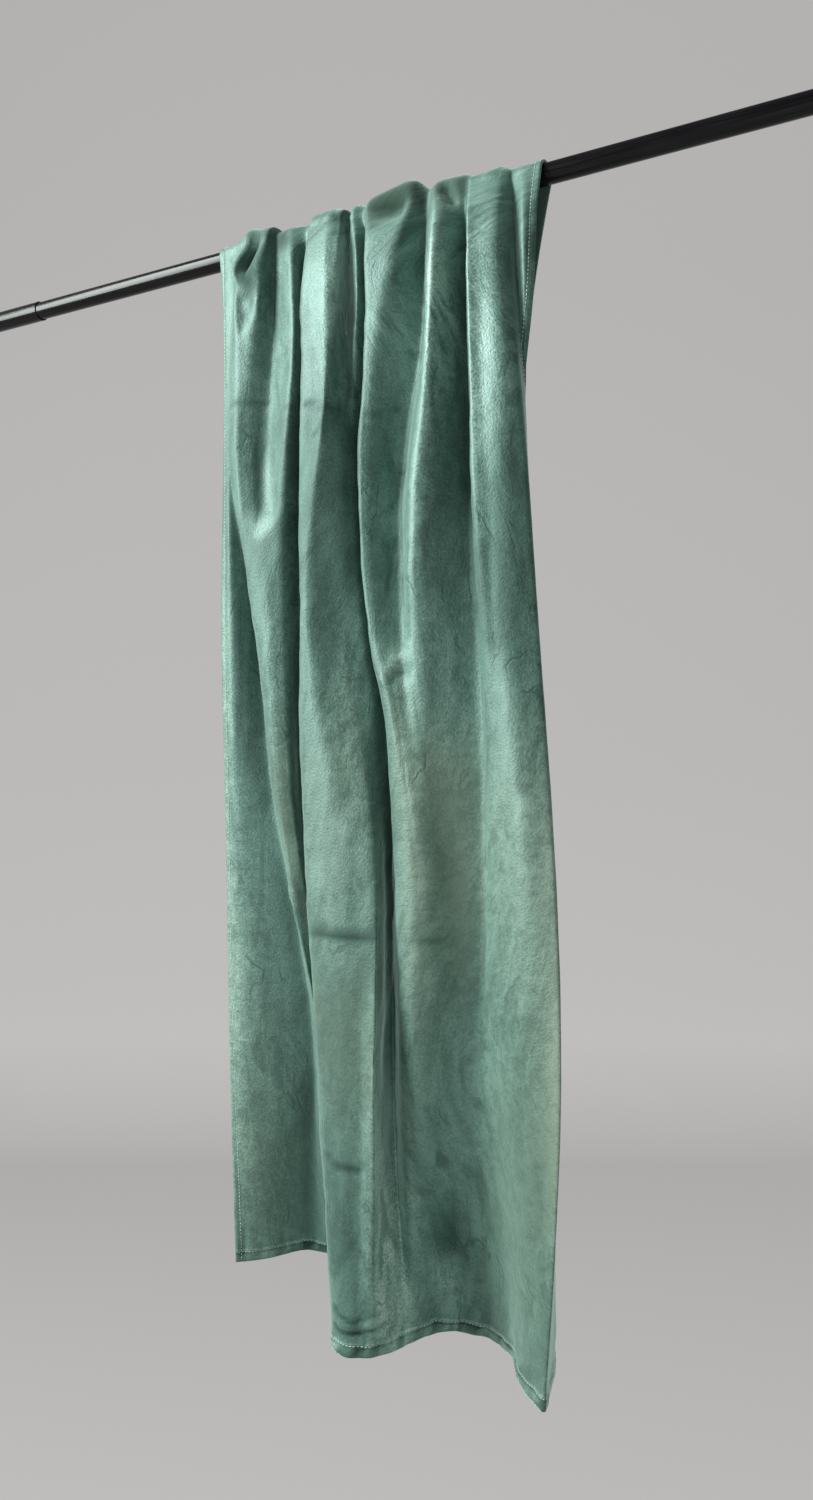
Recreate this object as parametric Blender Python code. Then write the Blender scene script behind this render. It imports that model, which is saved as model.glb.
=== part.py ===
"""A velvet curtain panel thrown over a telescopic rod.

The panel is one sheet. Its front hangs long, it goes over the rod in uneven gathers, and a shorter length
hangs behind. X runs along the rod, the front of the panel faces -Y and Z is up. The origin is on the rod's
axis, at the middle of the gathers. The tables are in millimetres; everything that is built is in metres.
"""
import math
from collections import namedtuple

import bmesh
import bpy
import numpy as np
from mathutils import Matrix

MM = 0.001

# The rod: an inner tube that slides in a wider sleeve
TUBE_RADIUS = 12.5
SLEEVE_RADIUS = 14.0
ROD_LEFT = -800.0
ROD_RIGHT = 660.0
SLEEVE_MOUTH = -588.0
SLEEVE_END_WALL = 6.0
SLEEVE_CHAMFER = 0.5
GAP = 0.3
ROD_SIDES = 48

# The panel
GATHERED_WIDTH = 482.0
FRONT_DROP = 1378.0
BACK_DROP = 690.0
SHEET_THICKNESS = 1.5
CLEAR_OF_AXIS = TUBE_RADIUS + GAP + SHEET_THICKNESS / 2 + 0.3
EASING = 1.0
ROD_REACH = 90.0
BACK_GATHER_SHARE = 0.8
GATHER_PATH_RADIUS = 20.0

# The rows of the sheet: front hem to rod, over the rod, rod to back hem
FRONT_ROWS = 25
TOP_CLOSENESS = 0.35
OVER_ROWS = 8
BACK_ROWS = 7

# The drops below the rod's axis at which each fold line's place is given
DROPS = (0, 50, 150, 300, 500, 750, 1050, 1378)

# Each line that runs up the panel along a rim, a valley or a face, from the left edge to the right one:
# across the rod from the gathers' left end, out in front of the rod's axis, how high it stands over the
# rod, how roundly it turns at the rod and at the hem, and where it ends at the back hem.
Fold = namedtuple("Fold", "name across out over turn_rod turn_hem back_across back_out")
FOLDS = (
    Fold("left_hem",
         (9, 17, 20, 15, 7, 4, 1, 12), (14, 18, 17, 12, 5, -8, -21, -21), 13, 5, 10, 22, -58),
    Fold("left_face",
         (23, 28, 30, 30, 29, 27, 30, 39), (18, 27, 29, 26, 15, 1, -14, -43), 13, 7, 60, 30, -92),
    Fold("left_valley",
         (40, 44, 40, 38, 46, 74, 110, 71), (21, 30, 31, 26, -18, -27, -64, -103), 13, 6, 16, 48, -98),
    Fold("rim_a",
         (58, 55, 56, 56, 83, 115, 169, 113), (24, 38, 40, 40, 38, 32, 8, -112), 30, 7, 14, 66, -52),
    Fold("shoulder_a",
         (97, 95, 79, 66, 102, 126, 171, 138), (28, 38, 36, 36, 44, 38, 2, -92), 24, 7, 50, 82, -48),
    Fold("dip_a",
         (100, 100, 97, 93, 113, 134, 174, 156), (14, 16, 14, 32, 43, 36, -4, -78), 16, 6, 50, 96, -88),
    Fold("ridge_b",
         (130, 143, 149, 135, 131, 145, 177, 179), (22, 36, 40, 40, 33, 30, -8, -64), 15, 10, 40, 114, -46),
    Fold("valley_b",
         (153, 145, 141, 137, 136, 134, 185, 207), (14, 7, 3, 4, 4, -8, -35, -64), 13, 6, 25, 132, -98),
    Fold("rim_c",
         (164, 166, 166, 168, 175, 191, 220, 253), (24, 42, 48, 54, 64, 80, 98, 110), 24, 5, 30, 150, -56),
    Fold("crease_c",
         (194, 203, 207, 199, 188, 239, 273, 281), (30, 48, 53, 59, 68, 86, 114, 124), 23, 7, 60, 164, -44),
    Fold("edge_c",
         (210, 217, 214, 203, 212, 280, 315, 307), (26, 40, 46, 57, 48, 70, 114, 109), 19, 4, 50, 176, -62),
    Fold("valley_c",
         (216, 213, 212, 223, 228, 283, 309, 314), (13, 8, 14, 34, 38, 57, 90, 95), 13, 5, 40, 190, -96),
    Fold("ridge_d",
         (224, 239, 237, 227, 245, 284, 300, 322), (20, 35, 31, 19, 25, 44, 66, 82), 24, 6, 25, 212, -58),
    Fold("valley_d",
         (238, 246, 246, 229, 245, 289, 297, 328), (13, 5, -2, -6, 0, 30, 38, 64), 18, 6, 30, 230, -94),
    Fold("rim_e",
         (250, 256, 258, 251, 264, 311, 328, 334), (26, 42, 46, 48, 54, 71, 78, 46), 24, 6, 50, 246, -50),
    Fold("shoulder_e",
         (312, 304, 281, 266, 275, 333, 351, 344), (28, 41, 46, 42, 50, 76, 82, 20), 28, 9, 60, 266, -60),
    Fold("valley_e",
         (331, 325, 323, 297, 301, 350, 371, 358), (13, 9, 8, 5, 22, 68, 66, 8), 17, 6, 60, 280, -100),
    Fold("ridge_f",
         (348, 355, 353, 343, 330, 374, 388, 372), (26, 50, 58, 64, 60, 50, 50, 2), 25, 20, 60, 292, -54),
    Fold("valley_f",
         (382, 380, 378, 382, 398, 416, 412, 408), (13, 5, -2, -2, 8, 26, 36, -3), 24, 7, 60, 310, -92),
    Fold("rim_g",
         (393, 400, 402, 406, 417, 431, 441, 448), (24, 47, 50, 52, 53, 57, 54, 26), 15, 4, 32, 326, -48),
    Fold("ridge_g",
         (430, 436, 439, 447, 450, 480, 492, 487), (24, 40, 44, 46, 46, 82, 90, 88), 20, 12, 60, 344, -56),
    Fold("tip",
         (440, 443, 450, 466, 480, 514, 537, 524), (18, 24, 30, 32, 28, 66, 100, 118), 13, 8, 6, 360, -92),
    Fold("right_side",
         (444, 445, 451, 461, 461, 483, 492, 497), (13, 10, 12, 12, -6, 6, 8, 14), 13, 7, 30, 376, -96),
    Fold("right_face",
         (459, 463, 464, 453, 449, 446, 446, 446), (18, 30, 27, 0, 6, 0, -20, -40), 13, 12, 30, 392, -58),
    Fold("right_hem",
         (482, 478, 472, 442, 430, 416, 402, 392), (16, 20, 19, 2, 4, -15, -40, -60), 13, 5, 10, 405, -84),
)

# Where the cloth swells or is pinched between the fold lines: its line, how far down the cloth it is from
# the rod's front, its half width in lines, its half length up and down, how far it goes out and how far to
# the right, and how far it leans.
Dent = namedtuple("Dent", "name line down half_width up_length down_length out side lean")
DENTS = (
    Dent("loop_bag", 3.40, 38, 0.36, 30, 18, 14, -9, 0.0),
    Dent("loop_hollow", 3.48, 26, 0.15, 34, 26, -24, 0, 0.0),
    Dent("loop_step", 3.35, 84, 0.40, 14, 30, -8, 0, 0.0),
    Dent("pocket_b", 5.0, 350, 0.70, 140, 24, -13, 0, 0.0),
    Dent("lobe_pocket", 14.6, 8, 0.24, 16, 16, -14, 0, 0.0),
    Dent("lobe", 14.8, -24, 0.50, 20, 16, 6, 0, 0.0),
    Dent("fold_pocket", 17.3, 2, 0.20, 16, 18, -14, 0, 0.5),
    Dent("crumple", 15.9, 568, 0.60, 14, 10, 6, 0, 0.6),
    Dent("hem_dent", 15.9, 1250, 0.95, 55, 24, -15, 0, 0.0),
    Dent("hem_lift", 16.0, 1302, 0.85, 24, 40, 9, 0, 0.0),
    Dent("valley_g", 19.42, 230, 0.40, 200, 380, -5, 0, 0.0),
    Dent("hollow_c", 9.45, 1150, 0.45, 230, 230, -6, 0, 0.0),
    Dent("border_c", 10.45, 1040, 0.40, 190, 120, 9, 0, 0.0),
    Dent("border_low", 11.4, 1250, 0.90, 160, 100, 12, 0, 0.0),
    Dent("rim_bulge", 14.3, 622, 1.00, 45, 90, 3, 8, 0.0),
    Dent("valley_fill", 16.0, 620, 0.80, 60, 150, 15, 0, 0.0),
)

# The colours: velvet green and black painted steel
VELVET = ("velvet", (0.070, 0.172, 0.130, 1.0), 0.85, 0.0)
PAINTED_STEEL = ("black_painted_steel", (0.012, 0.010, 0.016, 1.0), 0.28, 0.6)


def clear_scene():
    for thing in list(bpy.data.objects):
        bpy.data.objects.remove(thing)


def material(name, colour, roughness, metallic):
    made = bpy.data.materials.new(name)
    made.use_nodes = True
    shader = made.node_tree.nodes["Principled BSDF"]
    shader.inputs["Base Color"].default_value = colour
    shader.inputs["Roughness"].default_value = roughness
    shader.inputs["Metallic"].default_value = metallic
    return made


def smooth_through(knots, values, place):
    """The natural cubic spline through each column of values, read at one place."""
    knots = np.array(knots, float)
    count = len(knots)
    step = np.diff(knots)
    slope = np.diff(values, axis=0) / step[:, None]
    system = np.zeros((count, count))
    system[0, 0] = system[-1, -1] = 1.0
    known = np.zeros_like(values)
    for i in range(1, count - 1):
        system[i, i - 1:i + 2] = step[i - 1], 2 * (step[i - 1] + step[i]), step[i]
        known[i] = 6 * (slope[i] - slope[i - 1])
    bend = np.linalg.solve(system, known)
    k = min(max(int(np.searchsorted(knots, place, side="right")) - 1, 0), count - 2)
    a = (knots[k + 1] - place) / step[k]
    b = 1 - a
    curved = (a ** 3 - a) * bend[k] + (b ** 3 - b) * bend[k + 1]
    return a * values[k] + b * values[k + 1] + curved * step[k] ** 2 / 6


def column(name):
    """One column of the fold table, with a row for each level where the column has several."""
    return np.array([getattr(fold, name) for fold in FOLDS], float).T


def back_gathers():
    """How far each fold stands off behind the rod, where the gathers have flattened."""
    return CLEAR_OF_AXIS + BACK_GATHER_SHARE * np.maximum(column("out")[0] - CLEAR_OF_AXIS, 0)


def front_row(drop):
    """The fold points of a row in front, their turns, its place down the cloth and its way out."""
    share = drop / FRONT_DROP
    across = smooth_through(DROPS, column("across"), drop)
    out = smooth_through(DROPS, column("out"), drop)
    turns = column("turn_rod") * (1 - share) + column("turn_hem") * share
    points = np.stack([across, out, np.full(len(FOLDS), -drop)], 1)
    return points, turns, drop, (1.0, 0.0)


def over_row(angle):
    """The same for a row over the rod, at an angle from its front."""
    way = (math.cos(angle), math.sin(angle))
    side = column("out")[0] if angle < math.pi / 2 else back_gathers()
    radius = side * way[0] ** 2 + column("over") * way[1] ** 2
    points = np.stack([column("across")[0], radius * way[0], radius * way[1]], 1)
    return points, column("turn_rod"), -GATHER_PATH_RADIUS * angle, way


def back_row(drop):
    """The same for a row behind, where the sheet draws in and swings out to its hem."""
    share = drop / BACK_DROP
    drawn = 1 - (1 - share) ** 2.2
    swung = 0.5 * share + 0.5 * share * share * (3 - 2 * share)
    across = column("across")[0] * (1 - drawn) + column("back_across") * drawn
    out = -back_gathers() * (1 - swung) + column("back_out") * swung
    points = np.stack([across, out, np.full(len(FOLDS), -drop)], 1)
    down = -GATHER_PATH_RADIUS * math.pi - drop
    return points, column("turn_rod") + 6 * share, down, (-1.0, 0.0)


def cage(points, turns):
    """Three control points for each fold point: before it, on it and after it, a turn apart."""
    run = np.diff(points, axis=0)
    length = np.linalg.norm(run, axis=1)
    unit = run / length[:, None]
    reach_on = np.minimum(turns[:-1], 0.45 * length)[:, None]
    reach_back = np.minimum(turns[1:], 0.45 * length)[:, None]
    after = points[:-1] + unit * reach_on
    before = points[1:] - unit * reach_back
    inner = np.stack([before[:-1], points[1:-1], after[1:]], 1).reshape(-1, 3)
    return np.concatenate([points[:1], after[:1], inner, before[-1:], points[-1:]])


def soft_curve(points, turns, marks):
    """The cubic B-spline on a row's cage, read at marks counted in control points."""
    p = cage(points, turns)
    p = np.concatenate([[2 * p[0] - p[1]], p, [2 * p[-1] - p[-2]]])
    k = np.clip(np.floor(marks).astype(int), 0, len(p) - 4)
    t = (marks - k)[:, None]
    return ((1 - t) ** 3 * p[k] + (3 * t ** 3 - 6 * t ** 2 + 4) * p[k + 1]
            + (-3 * t ** 3 + 3 * t ** 2 + 3 * t + 1) * p[k + 2] + t ** 3 * p[k + 3]) / 6


def dented(row, marks, down, way):
    """The row with the local swells and pinches, eased off the rod along its way out."""
    line = marks / 3
    for dent in DENTS:
        b = (down - dent.down) / (dent.down_length if down > dent.down else dent.up_length)
        a = (line - dent.line) / dent.half_width - dent.lean * b
        share = np.exp(-a ** 2 - abs(b) ** 2.5)
        row[:, 0] += dent.side * share
        row[:, 1] += dent.out * share * way[0]
        row[:, 2] += dent.out * share * way[1]
    height = row[:, 1] * way[0] + row[:, 2] * way[1]
    beside = row[:, 1] * way[1] - row[:, 2] * way[0]
    least = CLEAR_OF_AXIS - beside ** 2 / ROD_REACH
    spare = (height - least) / EASING
    lift = EASING * np.log1p(np.exp(-np.abs(spare))) + np.maximum(-spare * EASING, 0)
    row[:, 1] += lift * way[0]
    row[:, 2] += lift * way[1]
    return row


def sheet_rows(marks):
    """The middle of the sheet as rows of points in millimetres: across, out and up."""
    steps = np.linspace(1, 0, FRONT_ROWS)
    drops = FRONT_DROP * (TOP_CLOSENESS * steps + (1 - TOP_CLOSENESS) * steps ** 2)
    sections = [front_row(drop) for drop in drops]
    sections += [over_row(angle) for angle in np.linspace(0, math.pi, OVER_ROWS + 2)[1:-1]]
    sections += [back_row(drop) for drop in np.linspace(0, BACK_DROP, BACK_ROWS)]
    return np.array([dented(soft_curve(points, turns, marks), marks, down, way)
                     for points, turns, down, way in sections])


def in_frame(rows):
    """Across, out and up in millimetres as X, Y and Z in metres."""
    x = rows[..., 0] - GATHERED_WIDTH / 2
    return np.stack([x, -rows[..., 1], rows[..., 2]], -1) * MM


def normals(points):
    """The sheet's normal at each point, out of its front."""
    down = np.gradient(points, axis=0)
    along = np.gradient(points, axis=1)
    normal = np.cross(along, down)
    return normal / np.linalg.norm(normal, axis=2)[..., None]


def closed_sheet(name, middle, thickness):
    """A closed mesh of two skins, half the thickness out of the sheet's middle each way, and its rim."""
    rows, columns = middle.shape[:2]
    half = normals(middle) * thickness / 2
    skins = np.concatenate([(middle + half).reshape(-1, 3), (middle - half).reshape(-1, 3)])
    behind = rows * columns
    faces = []
    for r in range(rows - 1):
        for c in range(columns - 1):
            a = r * columns + c
            quad = (a, a + 1, a + columns + 1, a + columns)
            faces.append(quad)
            faces.append(tuple(behind + v for v in reversed(quad)))
    last = (rows - 1) * columns
    rim = [(c + 1, c) for c in range(columns - 1)]
    rim += [(last + c, last + c + 1) for c in range(columns - 1)]
    rim += [(r * columns, (r + 1) * columns) for r in range(rows - 1)]
    rim += [((r + 2) * columns - 1, (r + 1) * columns - 1) for r in range(rows - 1)]
    faces += [(a, b, behind + b, behind + a) for a, b in rim]
    mesh = bpy.data.meshes.new(name)
    mesh.from_pydata([tuple(v) for v in skins], [], faces)
    tidy = bmesh.new()
    tidy.from_mesh(mesh)
    bmesh.ops.triangulate(tidy, faces=tidy.faces[:])
    bmesh.ops.recalc_face_normals(tidy, faces=tidy.faces[:])
    tidy.to_mesh(mesh)
    tidy.free()
    mesh.shade_smooth()
    return mesh


def place(name, mesh, finish):
    made = bpy.data.objects.new(name, mesh)
    bpy.context.collection.objects.link(made)
    mesh.materials.append(finish)
    return made


def turned(name, profile):
    """A closed mesh turned about X from its profile of (x, radius) points in millimetres, left to right."""
    mesh = bpy.data.meshes.new(name)
    made = bmesh.new()
    rings = []
    for x, radius in profile:
        ring = []
        for i in range(ROD_SIDES):
            angle = 2 * math.pi * i / ROD_SIDES
            point = (x, radius * math.sin(angle), radius * math.cos(angle))
            ring.append(made.verts.new([side * MM for side in point]))
        rings.append(ring)
    for one, two in zip(rings, rings[1:]):
        for i in range(ROD_SIDES):
            j = (i + 1) % ROD_SIDES
            made.faces.new((one[i], one[j], two[j], two[i]))
    made.faces.new(rings[0])
    made.faces.new(rings[-1])
    bmesh.ops.recalc_face_normals(made, faces=made.faces[:])
    made.to_mesh(mesh)
    made.free()
    mesh.shade_smooth()
    mesh.set_sharp_from_angle(angle=math.radians(30))
    return mesh


def build_curtain():
    marks = np.arange(3.0 * len(FOLDS) - 2)
    middle = in_frame(sheet_rows(marks))
    return place("curtain", closed_sheet("curtain", middle, SHEET_THICKNESS * MM), material(*VELVET))


def build_tube(finish):
    left = ROD_LEFT + SLEEVE_END_WALL + GAP
    return place("rod_tube", turned("rod_tube", [(left, TUBE_RADIUS), (ROD_RIGHT, TUBE_RADIUS)]), finish)


def build_sleeve(finish):
    bore = TUBE_RADIUS + GAP
    profile = [
        (ROD_LEFT, SLEEVE_RADIUS),
        (SLEEVE_MOUTH - SLEEVE_CHAMFER, SLEEVE_RADIUS),
        (SLEEVE_MOUTH, SLEEVE_RADIUS - SLEEVE_CHAMFER),
        (SLEEVE_MOUTH, bore),
        (ROD_LEFT + SLEEVE_END_WALL, bore),
    ]
    return place("rod_sleeve", turned("rod_sleeve", profile), finish)


def main():
    clear_scene()
    build_curtain()
    steel = material(*PAINTED_STEEL)
    build_tube(steel)
    sleeve_steel = material("black_painted_steel_sleeve", *PAINTED_STEEL[1:])
    build_sleeve(sleeve_steel)


main()
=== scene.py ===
"""The velvet curtain on its rod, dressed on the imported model.

The cloth is one sheet, made from the same table of folds as the solid it replaces, with finer rows and
columns, small creases and turned hems. Of the dents only valley_fill differs from the solid's: it is 5 mm
shallower and a little wider here. Lengths in the tables are millimetres; what is built is in metres.
"""

import math
from collections import namedtuple

import bpy
import numpy as np
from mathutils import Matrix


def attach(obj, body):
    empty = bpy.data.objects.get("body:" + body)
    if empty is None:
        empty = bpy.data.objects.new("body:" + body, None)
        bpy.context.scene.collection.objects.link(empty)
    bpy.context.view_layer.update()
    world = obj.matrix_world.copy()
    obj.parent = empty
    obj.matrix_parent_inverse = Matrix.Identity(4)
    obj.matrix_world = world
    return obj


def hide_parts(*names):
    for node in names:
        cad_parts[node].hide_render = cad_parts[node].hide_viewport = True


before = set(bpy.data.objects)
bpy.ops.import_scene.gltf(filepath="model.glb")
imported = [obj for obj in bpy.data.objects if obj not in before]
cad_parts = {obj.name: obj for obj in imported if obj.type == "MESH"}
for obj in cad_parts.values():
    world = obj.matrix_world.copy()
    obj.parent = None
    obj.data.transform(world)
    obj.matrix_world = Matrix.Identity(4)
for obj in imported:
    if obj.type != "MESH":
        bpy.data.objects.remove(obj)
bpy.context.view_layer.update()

MM = 0.001

# The rod and the panel, as in the solid
TUBE_RADIUS = 12.5
GAP = 0.3
GATHERED_WIDTH = 482.0
FRONT_DROP = 1378.0
BACK_DROP = 690.0
SHEET_THICKNESS = 1.5
SPARE_AT_ROD = 0.3
CLEAR_OF_AXIS = TUBE_RADIUS + GAP + SHEET_THICKNESS / 2 + SPARE_AT_ROD
EASING = 1.0
ROD_REACH = 90.0
BACK_GATHER_SHARE = 0.8
BACK_DRAW_POWER = 2.2
BACK_TURN_GROWTH = 6.0
GATHER_PATH_RADIUS = 20.0
LONGEST_TURN_SHARE = 0.45
CONTROLS_A_LINE = 3
END_SQUARENESS = 2.5

# How fine the sheet is: columns between two of the cage's points, and its rows. Those in front lie about
# ROW_SPACING apart, with others about CLOSE_SPACING apart among them within CLOSE_REACH of the rod.
COLUMNS_A_CONTROL = 2.5
FRONT_ROWS = 200
OVER_ROWS = 22
BACK_ROWS = 44
ROW_SPACING = 8.5
CLOSE_SPACING = 4.5
CLOSE_REACH = 120.0
SPACING_SAMPLES = 2000

# The turned hems: the rows near the front one, how wide the bands are, where they are stitched, how high
# they stand and how softly they end, the groove along the stitches, and the least and most of it all
HEM_ROWS = (0.0, 2.0, 5.0, 8.5, 11.0, 13.0, 15.0, 17.0, 19.5, 23.0, 27.0, 31.0, 35.0, 39.0, 43.0, 48.0)
HEM_BAND = 16.0
HEM_STITCHED = 13.0
SIDE_BAND = 10.0
SIDE_STITCHED = 8.0
HEM_HEIGHT = 1.1
HEM_STEP = 0.7
GROOVE_DEPTH = 1.5
GROOVE_HALF_WIDTH = 1.7
LOWEST_RELIEF = -0.4
HIGHEST_RELIEF = 1.3

# Painted light and shade along the front hem: a painted highlight on the step of the turned band, painted
# shade in its groove and at its edge; how far up the cloth, half their width and how much lighter they look
Band = namedtuple("Band", "name up half_width shade")
HEM_BANDS = (
    Band("step", 15.0, 1.2, 1.0),
    Band("groove", 11.5, 1.6, -0.5),
    Band("edge", 0.0, 1.6, -0.5),
)

# The stitches, and the rings of a stitch's thread: how far along the stitch, how far off the cloth and how
# thick they are
STITCH_LENGTH = 3.2
STITCH_PITCH = 4.6
THREAD_RADIUS = 0.5
ThreadRing = namedtuple("ThreadRing", "along lift girth")
THREAD_RINGS = (
    ThreadRing(0.0, -0.1, 0.5),
    ThreadRing(0.2, 0.3, 1.0),
    ThreadRing(0.8, 0.3, 1.0),
    ThreadRing(1.0, -0.1, 0.5),
)
THREAD_CORNERS = ((1, 0), (0, 1), (-1, 0), (0, -1))

# Waves too small for the solid: how high and how long they are, how close they lie up the cloth as a share of
# how close they lie across it, and their seed
Wave = namedtuple("Wave", "name height size closeness seed")
LOOSE_WAVES = (
    Wave("broad", 0.6, 100, 0.6, 3),
    Wave("small", 0.3, 36, 1.0, 4),
)
FRONT_HEM_WAVE = Wave("front_hem", 0.9, 19, 0.4, 5)
BACK_HEM_WAVE = Wave("back_hem", 0.9, 19, 0.4, 6)
HEM_WAVE_REACH = 12.0
# The pucker shade is no relief: painted light and shade in short strokes across the front hem, its height
# being how much lighter they look
PUCKER_SHADE = Wave("puckers", 0.35, 15, 0.4, 9)
PUCKER_SHADE_UP = 9.0
PUCKER_SHADE_HALF_WIDTH = 9.0
WAVE_COUNT = 24
WAVE_SIZES = (0.6, 1.7)

# Where the loose waves die away: near the rod, towards the sides and along the fold line of the tip
STILL_RADIUS = 35.0
STILL_FADE = 60.0
SIDE_FADE = 90.0
TIP_LINE = 21
TIP_HALF_WIDTH = 0.8
TIP_STILLNESS = 0.85

# The drops below the rod's axis at which each fold line's place is given
DROPS = (0, 50, 150, 300, 500, 750, 1050, 1378)

# Each line that runs up the panel along a rim, a valley or a face, from the left edge to the right one:
# across the rod from the gathers' left end, out in front of the rod's axis, how high it stands over the rod,
# how roundly it turns at the rod and at the hem, and where it ends at the back hem.
Fold = namedtuple("Fold", "name across out over turn_rod turn_hem back_across back_out")
FOLDS = (
    Fold("left_hem",
         (9, 17, 20, 15, 7, 4, 1, 12), (14, 18, 17, 12, 5, -8, -21, -21), 13, 5, 10, 22, -58),
    Fold("left_face",
         (23, 28, 30, 30, 29, 27, 30, 39), (18, 27, 29, 26, 15, 1, -14, -43), 13, 7, 60, 30, -92),
    Fold("left_valley",
         (40, 44, 40, 38, 46, 74, 110, 71), (21, 30, 31, 26, -18, -27, -64, -103), 13, 6, 16, 48, -98),
    Fold("rim_a",
         (58, 55, 56, 56, 83, 115, 169, 113), (24, 38, 40, 40, 38, 32, 8, -112), 30, 7, 14, 66, -52),
    Fold("shoulder_a",
         (97, 95, 79, 66, 102, 126, 171, 138), (28, 38, 36, 36, 44, 38, 2, -92), 24, 7, 50, 82, -48),
    Fold("dip_a",
         (100, 100, 97, 93, 113, 134, 174, 156), (14, 16, 14, 32, 43, 36, -4, -78), 16, 6, 50, 96, -88),
    Fold("ridge_b",
         (130, 143, 149, 135, 131, 145, 177, 179), (22, 36, 40, 40, 33, 30, -8, -64), 15, 10, 40, 114, -46),
    Fold("valley_b",
         (153, 145, 141, 137, 136, 134, 185, 207), (14, 7, 3, 4, 4, -8, -35, -64), 13, 6, 25, 132, -98),
    Fold("rim_c",
         (164, 166, 166, 168, 175, 191, 220, 253), (24, 42, 48, 54, 64, 80, 98, 110), 24, 5, 30, 150, -56),
    Fold("crease_c",
         (194, 203, 207, 199, 188, 239, 273, 281), (30, 48, 53, 59, 68, 86, 114, 124), 23, 7, 60, 164, -44),
    Fold("edge_c",
         (210, 217, 214, 203, 212, 280, 315, 307), (26, 40, 46, 57, 48, 70, 114, 109), 19, 4, 50, 176, -62),
    Fold("valley_c",
         (216, 213, 212, 223, 228, 283, 309, 314), (13, 8, 14, 34, 38, 57, 90, 95), 13, 5, 40, 190, -96),
    Fold("ridge_d",
         (224, 239, 237, 227, 245, 284, 300, 322), (20, 35, 31, 19, 25, 44, 66, 82), 24, 6, 25, 212, -58),
    Fold("valley_d",
         (238, 246, 246, 229, 245, 289, 297, 328), (13, 5, -2, -6, 0, 30, 38, 64), 18, 6, 30, 230, -94),
    Fold("rim_e",
         (250, 256, 258, 251, 264, 311, 328, 334), (26, 42, 46, 48, 54, 71, 78, 46), 24, 6, 50, 246, -50),
    Fold("shoulder_e",
         (312, 304, 281, 266, 275, 333, 351, 344), (28, 41, 46, 42, 50, 76, 82, 20), 28, 9, 60, 266, -60),
    Fold("valley_e",
         (331, 325, 323, 297, 301, 350, 371, 358), (13, 9, 8, 5, 22, 68, 66, 8), 17, 6, 60, 280, -100),
    Fold("ridge_f",
         (348, 355, 353, 343, 330, 374, 388, 372), (26, 50, 58, 64, 60, 50, 50, 2), 25, 20, 60, 292, -54),
    Fold("valley_f",
         (382, 380, 378, 382, 398, 416, 412, 408), (13, 5, -2, -2, 8, 26, 36, -3), 24, 7, 60, 310, -92),
    Fold("rim_g",
         (393, 400, 402, 406, 417, 431, 441, 448), (24, 47, 50, 52, 53, 57, 54, 26), 15, 4, 32, 326, -48),
    Fold("ridge_g",
         (430, 436, 439, 447, 450, 480, 492, 487), (24, 40, 44, 46, 46, 82, 90, 88), 20, 12, 60, 344, -56),
    Fold("tip",
         (440, 443, 450, 466, 480, 514, 537, 524), (18, 24, 30, 32, 28, 66, 100, 118), 13, 8, 6, 360, -92),
    Fold("right_side",
         (444, 445, 451, 461, 461, 483, 492, 497), (13, 10, 12, 12, -6, 6, 8, 14), 13, 7, 30, 376, -96),
    Fold("right_face",
         (459, 463, 464, 453, 449, 446, 446, 446), (18, 30, 27, 0, 6, 0, -20, -40), 13, 12, 30, 392, -58),
    Fold("right_hem",
         (482, 478, 472, 442, 430, 416, 402, 392), (16, 20, 19, 2, 4, -15, -40, -60), 13, 5, 10, 405, -84),
)

# Where the cloth swells or is pinched: its place in fold lines and in millimetres down the cloth from the
# rod's front, its half width in lines, its half length up and down, how far it goes out and how far to the
# right, and how far it leans.
Dent = namedtuple("Dent", "name line down half_width up_length down_length out side lean")
DENTS = (
    Dent("loop_bag", 3.40, 38, 0.36, 30, 18, 14, -9, 0.0),
    Dent("loop_hollow", 3.48, 26, 0.15, 34, 26, -24, 0, 0.0),
    Dent("loop_step", 3.35, 84, 0.40, 14, 30, -8, 0, 0.0),
    Dent("pocket_b", 5.0, 350, 0.70, 140, 24, -13, 0, 0.0),
    Dent("lobe_pocket", 14.6, 8, 0.24, 16, 16, -14, 0, 0.0),
    Dent("lobe", 14.8, -24, 0.50, 20, 16, 6, 0, 0.0),
    Dent("fold_pocket", 17.3, 2, 0.20, 16, 18, -14, 0, 0.5),
    Dent("crumple", 15.9, 568, 0.60, 14, 10, 6, 0, 0.6),
    Dent("hem_dent", 15.9, 1250, 0.95, 55, 24, -15, 0, 0.0),
    Dent("hem_lift", 16.0, 1302, 0.85, 24, 40, 9, 0, 0.0),
    Dent("valley_g", 19.42, 230, 0.40, 200, 380, -5, 0, 0.0),
    Dent("hollow_c", 9.45, 1150, 0.45, 230, 230, -6, 0, 0.0),
    Dent("border_c", 10.45, 1040, 0.40, 190, 120, 9, 0, 0.0),
    Dent("border_low", 11.4, 1250, 0.90, 160, 100, 12, 0, 0.0),
    Dent("rim_bulge", 14.3, 622, 1.00, 45, 90, 3, 8, 0.0),
    Dent("valley_fill", 16.0, 620, 1.00, 60, 150, 10, 0, 0.0),
)
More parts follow.
